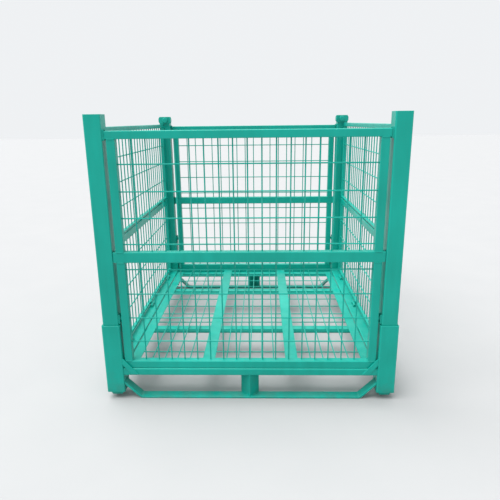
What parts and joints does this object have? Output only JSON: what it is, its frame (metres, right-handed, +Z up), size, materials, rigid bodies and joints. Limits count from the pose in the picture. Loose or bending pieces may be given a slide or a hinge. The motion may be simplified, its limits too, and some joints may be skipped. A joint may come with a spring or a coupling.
{
  "type": "wire mesh container",
  "caption": "Collapsible stacking cage with a skid base, four lift-out corner posts, two lift-off mesh gates and two bi-fold mesh side walls.",
  "frame": {"origin": "on the ground, under the middle of the cage", "axes": "+Z up; -Y towards the front gate; +X to the right seen from the front"},
  "size_m": [1.12, 1.32, 1.08],
  "materials": {
    "base_paint": "satin",
    "post_paint": "satin",
    "gate_paint": "satin",
    "wall_paint": "satin",
    "floor_paint": "satin",
    "wire_paint": "satin",
    "fitting_paint": "satin"
  },
  "bodies": {
    "base": {"base_hinge_lugs": "fitting_paint", "base_hinge_pins": "fitting_paint", "base_rail_back": "base_paint", "base_rail_front": "base_paint", "base_rail_left": "base_paint", "base_rail_right": "base_paint", "centre_supports": "base_paint", "corner_braces": "base_paint", "floor_bearers": "base_paint", "floor_edge_strips": "floor_paint", "floor_mesh": "wire_paint", "floor_strips": "floor_paint", "post_stop_plates": "base_paint", "skid_back": "base_paint", "skid_front": "base_paint", "sleeve_back_left": "base_paint", "sleeve_back_right": "base_paint", "sleeve_front_left": "base_paint", "sleeve_front_right": "base_paint", "stacking_feet": "base_paint"},
    "left_lower_wall": {"left_lower_frame": "wall_paint", "left_lower_mesh": "wire_paint", "left_base_knuckles": "fitting_paint", "left_lower_knuckles": "fitting_paint", "left_mid_hinge_pins": "fitting_paint"},
    "left_upper_wall": {"left_upper_frame": "wall_paint", "left_upper_mesh": "wire_paint", "left_upper_knuckles": "fitting_paint"},
    "right_lower_wall": {"right_lower_frame": "wall_paint", "right_lower_mesh": "wire_paint", "right_base_knuckles": "fitting_paint", "right_lower_knuckles": "fitting_paint", "right_mid_hinge_pins": "fitting_paint"},
    "right_upper_wall": {"right_upper_frame": "wall_paint", "right_upper_mesh": "wire_paint", "right_upper_knuckles": "fitting_paint"},
    "front_gate": {"front_gate_frame": "gate_paint", "front_gate_mesh": "wire_paint", "front_gate_studs": "fitting_paint"},
    "back_gate": {"back_gate_frame": "gate_paint", "back_gate_mesh": "wire_paint", "back_gate_studs": "fitting_paint"},
    "front_left_post": {"post_front_left": "post_paint", "gate_keepers_front_left": "post_paint"},
    "front_right_post": {"post_front_right": "post_paint", "gate_keepers_front_right": "post_paint"},
    "back_left_post": {"post_back_left": "post_paint", "gate_keepers_back_left": "post_paint", "latch_bolt_left": "fitting_paint"},
    "left_latch": {"turn_latch_left": "fitting_paint"},
    "back_right_post": {"post_back_right": "post_paint", "gate_keepers_back_right": "post_paint", "latch_bolt_right": "fitting_paint"},
    "right_latch": {"turn_latch_right": "fitting_paint"}
  },
  "joints": [
    {"name": "left_wall_fold", "type": "hinge", "parent": "base", "child": "left_lower_wall", "pos_m": [-0.522, 0, 0.137], "axis": [0, 1, 0], "range_deg": [0, 90]},
    {"name": "left_wall_bend", "type": "hinge", "parent": "left_lower_wall", "child": "left_upper_wall", "pos_m": [-0.551, 0, 0.598], "axis": [0, 1, 0], "range_deg": [-180, 0]},
    {"name": "right_wall_fold", "type": "hinge", "parent": "base", "child": "right_lower_wall", "pos_m": [0.522, 0, 0.137], "axis": [0, -1, 0], "range_deg": [0, 90]},
    {"name": "right_wall_bend", "type": "hinge", "parent": "right_lower_wall", "child": "right_upper_wall", "pos_m": [0.551, 0, 0.598], "axis": [0, -1, 0], "range_deg": [-180, 0]},
    {"name": "front_gate_lift", "type": "slide", "parent": "base", "child": "front_gate", "axis": [0, 0, 1], "range_m": [0, 0.06]},
    {"name": "back_gate_lift", "type": "slide", "parent": "base", "child": "back_gate", "axis": [0, 0, 1], "range_m": [0, 0.06]},
    {"name": "front_left_post_lift", "type": "slide", "parent": "base", "child": "front_left_post", "axis": [0, 0, 1], "range_m": [0, 0.145]},
    {"name": "front_right_post_lift", "type": "slide", "parent": "base", "child": "front_right_post", "axis": [0, 0, 1], "range_m": [0, 0.145]},
    {"name": "back_left_post_lift", "type": "slide", "parent": "base", "child": "back_left_post", "axis": [0, 0, 1], "range_m": [0, 0.145]},
    {"name": "left_latch_turn", "type": "hinge", "parent": "back_left_post", "child": "left_latch", "pos_m": [-0.52, 0.5907, 1.0605], "axis": [0, 1, 0], "range_deg": [0, 90]},
    {"name": "back_right_post_lift", "type": "slide", "parent": "base", "child": "back_right_post", "axis": [0, 0, 1], "range_m": [0, 0.145]},
    {"name": "right_latch_turn", "type": "hinge", "parent": "back_right_post", "child": "right_latch", "pos_m": [0.52, 0.5907, 1.0605], "axis": [0, -1, 0], "range_deg": [0, 90]}
  ],
  "couplings": [
    {"joint": "left_wall_bend", "follows": "left_wall_fold", "ratio": -2},
    {"joint": "right_wall_bend", "follows": "right_wall_fold", "ratio": -2}
  ]
}
